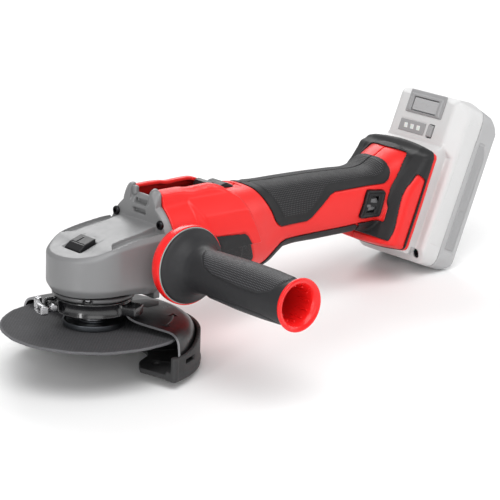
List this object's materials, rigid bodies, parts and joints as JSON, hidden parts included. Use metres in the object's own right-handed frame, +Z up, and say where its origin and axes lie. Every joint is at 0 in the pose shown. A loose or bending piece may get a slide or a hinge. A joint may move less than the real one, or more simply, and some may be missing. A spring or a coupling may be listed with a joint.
{
  "type": "cordless angle grinder",
  "caption": "Cordless angle grinder with a guarded cutting disc under a cast gear head, a side handle, a slim rubber-covered grip and a slide-on battery on a tilted rail.",
  "frame": {"origin": "centre of the bounding box on the floor that the tool stands on", "axes": "+X back along the motor to the battery, side handle towards -Y, +Z up"},
  "size_m": [0.4066, 0.2354, 0.123],
  "materials": {
    "cast_grey": "satin grey paint on cast alloy",
    "housing_red": "satin moulded plastic",
    "soft_black": "dimpled soft-touch rubber",
    "hard_black": "fine-grained moulded plastic",
    "guard_black": "semi-gloss black coating",
    "bright_steel": "bright zinc",
    "dark_steel": "dark oxide",
    "abrasive": "resin-bonded abrasive with woven mesh",
    "copper": "enamelled copper",
    "laminations": "stacked steel laminations",
    "pack_light": "light grey moulded plastic",
    "pack_grey": "mid grey moulded plastic",
    "cell_wrap": "shrink wrap",
    "board": "circuit board"
  },
  "bodies": {
    "machine": {"gear_housing": "cast_grey", "bearing_cap": "cast_grey", "cap_screw_1": "dark_steel", "cap_screw_2": "dark_steel", "cap_screw_3": "dark_steel", "cap_screw_4": "dark_steel", "head_screw_1": "dark_steel", "head_screw_2": "dark_steel", "head_screw_3": "dark_steel", "head_screw_4": "dark_steel", "lower_spindle_bearing": "bright_steel", "upper_spindle_bearing": "bright_steel", "motor_housing_left": "housing_red", "motor_housing_right": "housing_red", "grip_cover": "soft_black", "belly_strip": "hard_black", "foot_bumper": "soft_black", "side_panel_left": "hard_black", "side_panel_right": "hard_black", "dial_bezel": "hard_black", "switch_unit": "hard_black", "controller": "board", "stator_core": "laminations", "stator_windings": "copper", "front_rotor_bearing": "bright_steel", "rear_rotor_bearing": "bright_steel", "motor_end_frame": "hard_black", "terminal_block": "hard_black"},
    "spindle": {"spindle": "dark_steel", "ring_gear": "dark_steel", "inner_flange": "dark_steel", "cutting_disc": "abrasive"},
    "nut": {"quick_nut": "hard_black"},
    "rotor": {"rotor_shaft": "bright_steel", "rotor_core": "laminations", "fan": "hard_black", "pinion": "dark_steel"},
    "lock_button": {"lock_button": "hard_black"},
    "slide_switch": {"slide_switch": "hard_black", "switch_link": "hard_black"},
    "speed_dial": {"speed_dial": "hard_black"},
    "guard": {"guard": "guard_black", "clamp_band": "guard_black", "clamp_bolt": "bright_steel", "guard_cover": "hard_black"},
    "clamp_lever": {"clamp_lever": "bright_steel"},
    "side_handle": {"handle_grip": "soft_black", "handle_ring": "housing_red", "handle_cap": "housing_red", "handle_stud": "bright_steel"},
    "battery": {"battery_front_shell": "pack_light", "battery_rear_shell": "pack_grey", "battery_board": "board", "battery_cell_1": "cell_wrap", "battery_cell_2": "cell_wrap", "battery_cell_3": "cell_wrap", "battery_cell_4": "cell_wrap", "battery_cell_5": "cell_wrap"},
    "battery_latch": {"battery_latch": "pack_grey"},
    "charge_button": {"charge_button": "pack_grey"}
  },
  "joints": [
    {"name": "spindle_spin", "type": "hinge", "parent": "machine", "child": "spindle", "pos_m": [-0.14097, 0.04565, 0.03215], "axis": [0.1011, 0, 0.9949], "continuous": true},
    {"name": "rotor_spin", "type": "hinge", "parent": "machine", "child": "rotor", "pos_m": [-0.05632, 0.04565, 0.07381], "axis": [0.9949, 0, -0.1011], "continuous": true},
    {"name": "nut_unscrew", "type": "slide", "parent": "spindle", "child": "nut", "axis": [-0.1011, 0, -0.9949], "range_m": [0, 0.012]},
    {"name": "lock_press", "type": "slide", "parent": "machine", "child": "lock_button", "axis": [-0.1011, 0, -0.9949], "range_m": [0, 0.003], "stiffness_N_per_m": 800},
    {"name": "switch_slide", "type": "slide", "parent": "machine", "child": "slide_switch", "axis": [-0.9949, 0, 0.1011], "range_m": [0, 0.008]},
    {"name": "dial_turn", "type": "hinge", "parent": "machine", "child": "speed_dial", "pos_m": [0.09729, 0.02965, 0.06222], "axis": [0.9949, 0, -0.1011], "range_deg": [0, 270]},
    {"name": "guard_turn", "type": "hinge", "parent": "machine", "child": "guard", "pos_m": [-0.13945, 0.04565, 0.04707], "axis": [0.1011, 0, 0.9949], "range_deg": [-60, 60]},
    {"name": "clamp_open", "type": "hinge", "parent": "guard", "child": "clamp_lever", "pos_m": [-0.17146, 0.06415, 0.05093], "axis": [-0.1011, 0, -0.9949], "range_deg": [0, 100]},
    {"name": "handle_unscrew", "type": "slide", "parent": "machine", "child": "side_handle", "axis": [0, -1, 0], "range_m": [0, 0.02]},
    {"name": "battery_slide", "type": "slide", "parent": "machine", "child": "battery", "axis": [0.471, 0, 0.8821], "range_m": [0, 0.1]},
    {"name": "latch_press", "type": "slide", "parent": "battery", "child": "battery_latch", "axis": [0.8821, 0, -0.471], "range_m": [0, 0.003], "stiffness_N_per_m": 1000},
    {"name": "charge_press", "type": "slide", "parent": "battery", "child": "charge_button", "axis": [0.8821, 0, -0.471], "range_m": [0, 0.001], "stiffness_N_per_m": 600}
  ],
  "couplings": [
    {"joint": "rotor_spin", "follows": "spindle_spin", "ratio": 2.75}
  ]
}
